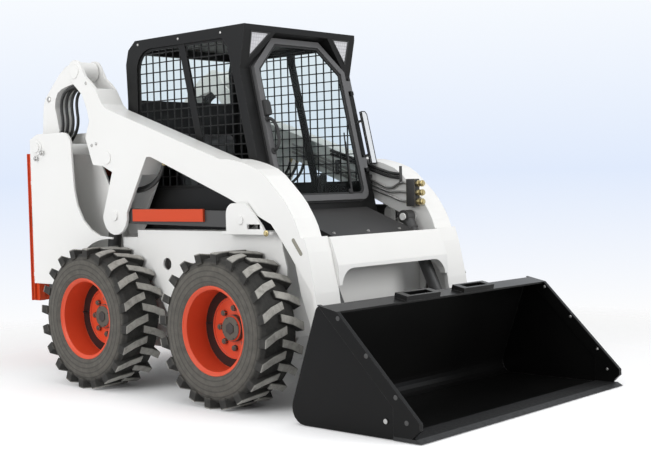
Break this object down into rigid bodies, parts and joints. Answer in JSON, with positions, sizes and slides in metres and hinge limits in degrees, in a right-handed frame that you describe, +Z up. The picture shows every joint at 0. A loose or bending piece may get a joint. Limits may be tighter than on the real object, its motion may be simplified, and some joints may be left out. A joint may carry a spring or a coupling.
{
  "type": "skid steer loader",
  "caption": "Compact four-wheeled skid steer loader with a closed cab, vertical-path lift arms and a wide dirt bucket.",
  "frame": {"origin": "centre of the machine's footprint on the ground, midway between bucket edge and tailgate", "axes": "+X forward towards the bucket, +Y to the machine's left, +Z up"},
  "size_m": [3.142, 1.727, 1.935],
  "materials": {
    "white_paint": "semi-gloss paint",
    "black_paint": "satin paint",
    "red_paint": "semi-gloss paint",
    "tyre_rubber": "worn rubber",
    "grey_paint": "satin paint",
    "rod_chrome": "polished",
    "clear_glass": "clear",
    "engine_iron": "painted",
    "seat_cover": "vinyl",
    "black_plastic": "matt",
    "lamp_lens": "clear lens",
    "red_lens": "red lens",
    "mirror_glass": "mirror",
    "zinc_plate": "yellow zinc",
    "wear_steel": "worn steel"
  },
  "bodies": {
    "chassis": {"main_frame": "white_paint", "side_plates": "white_paint", "fender_rails": "white_paint", "rear_decks": "white_paint", "lift_pins": "white_paint", "upright_left": "white_paint", "upright_right": "white_paint", "axles": "black_paint", "engine_block": "engine_iron", "engine_hood": "black_paint", "cab_shell": "black_paint", "side_screen_left": "black_paint", "side_screen_right": "black_paint", "rear_window": "clear_glass", "cab_floor": "black_paint", "seat": "seat_cover", "control_levers": "black_plastic", "headlamps": "lamp_lens", "tail_lamps": "red_lens", "front_step": "black_paint", "link_brackets": "white_paint", "rear_mirror": "mirror_glass", "tie_downs": "black_paint"},
    "door": {"cab_door": "grey_paint", "door_glass": "clear_glass", "wiper": "black_plastic"},
    "tailgate": {"rear_door": "red_paint"},
    "wheel_fl": {"rim_fl": "red_paint", "tyre_fl": "tyre_rubber"},
    "wheel_fr": {"rim_fr": "red_paint", "tyre_fr": "tyre_rubber"},
    "wheel_rl": {"rim_rl": "red_paint", "tyre_rl": "tyre_rubber"},
    "wheel_rr": {"rim_rr": "red_paint", "tyre_rr": "tyre_rubber"},
    "lower_link_pair": {"lower_links": "grey_paint", "lift_arm_support": "red_paint"},
    "lift_arms": {"lift_arm_left": "white_paint", "lift_arm_right": "white_paint", "crossmember": "white_paint", "hydraulic_couplers": "zinc_plate"},
    "rear_link_pair": {"rear_links": "white_paint"},
    "lift_barrel_pair": {"lift_barrels": "grey_paint"},
    "lift_rod_pair": {"lift_rods": "rod_chrome"},
    "tilt_barrel_pair": {"tilt_barrels": "grey_paint"},
    "tilt_rod_pair": {"tilt_rods": "rod_chrome"},
    "coupler_and_bucket": {"attach_frame": "black_paint", "bucket": "black_paint", "cutting_edge": "wear_steel"}
  },
  "joints": [
    {"name": "wheel_fl_turn", "type": "hinge", "parent": "chassis", "child": "wheel_fl", "pos_m": [0.259, 0.706, 0.387], "axis": [0, 1, 0], "continuous": true},
    {"name": "wheel_fr_turn", "type": "hinge", "parent": "chassis", "child": "wheel_fr", "pos_m": [0.259, -0.706, 0.387], "axis": [0, 1, 0], "continuous": true},
    {"name": "wheel_rl_turn", "type": "hinge", "parent": "chassis", "child": "wheel_rl", "pos_m": [-0.777, 0.706, 0.387], "axis": [0, 1, 0], "continuous": true},
    {"name": "wheel_rr_turn", "type": "hinge", "parent": "chassis", "child": "wheel_rr", "pos_m": [-0.777, -0.706, 0.387], "axis": [0, 1, 0], "continuous": true},
    {"name": "arm_lift", "type": "hinge", "parent": "lower_link_pair", "child": "lift_arms", "pos_m": [-0.754, 0, 0.945], "axis": [0, -1, 0], "range_deg": [0, 126.18]},
    {"name": "lower_link_swing", "type": "hinge", "parent": "chassis", "child": "lower_link_pair", "pos_m": [0.279, 0, 0.925], "axis": [0, 1, 0], "range_deg": [0, 58.38]},
    {"name": "rear_link_swing", "type": "hinge", "parent": "chassis", "child": "rear_link_pair", "pos_m": [-1.441, 0, 1.35], "axis": [0, -1, 0], "range_deg": [0, 7.46]},
    {"name": "lift_barrel_swing", "type": "hinge", "parent": "chassis", "child": "lift_barrel_pair", "pos_m": [-0.931, 0, 0.45], "axis": [0, 1, 0], "range_deg": [0, 5.85]},
    {"name": "lift_rod_stroke", "type": "slide", "parent": "lift_barrel_pair", "child": "lift_rod_pair", "axis": [0.1472, 0, 0.9891], "range_m": [0, 0.65167]},
    {"name": "bucket_tilt", "type": "hinge", "parent": "lift_arms", "child": "coupler_and_bucket", "pos_m": [0.767, 0, 0.176], "axis": [0, 1, 0], "range_deg": [-25, 110]},
    {"name": "tilt_barrel_swing", "type": "hinge", "parent": "lift_arms", "child": "tilt_barrel_pair", "pos_m": [0.521, 0, 0.905], "axis": [0, 1, 0], "range_deg": [-0.78, 2.74]},
    {"name": "tilt_rod_stroke", "type": "slide", "parent": "tilt_barrel_pair", "child": "tilt_rod_pair", "axis": [0.4317, 0, -0.902], "range_m": [-0.04878, 0.21123]},
    {"name": "cab_door_swing", "type": "hinge", "parent": "chassis", "child": "door", "pos_m": [0.1997, 0.387, 1.37921], "axis": [-0.2317, 0, 0.9728], "range_deg": [0, 90]},
    {"name": "tailgate_swing", "type": "hinge", "parent": "chassis", "child": "tailgate", "pos_m": [-1.536, -0.616, 0.9], "axis": [0, 0, 1], "range_deg": [0, 100]}
  ],
  "couplings": [
    {"joint": "lower_link_swing", "follows": "arm_lift", "ratio": 0.46111},
    {"joint": "rear_link_swing", "follows": "arm_lift", "ratio": 0.057502},
    {"joint": "lift_barrel_swing", "follows": "arm_lift", "ratio": 0.044753},
    {"joint": "lift_rod_stroke", "follows": "arm_lift", "m_per_rad": 0.29499},
    {"joint": "tilt_barrel_swing", "follows": "bucket_tilt", "ratio": 0.023071},
    {"joint": "tilt_rod_stroke", "follows": "bucket_tilt", "m_per_rad": 0.1095}
  ]
}
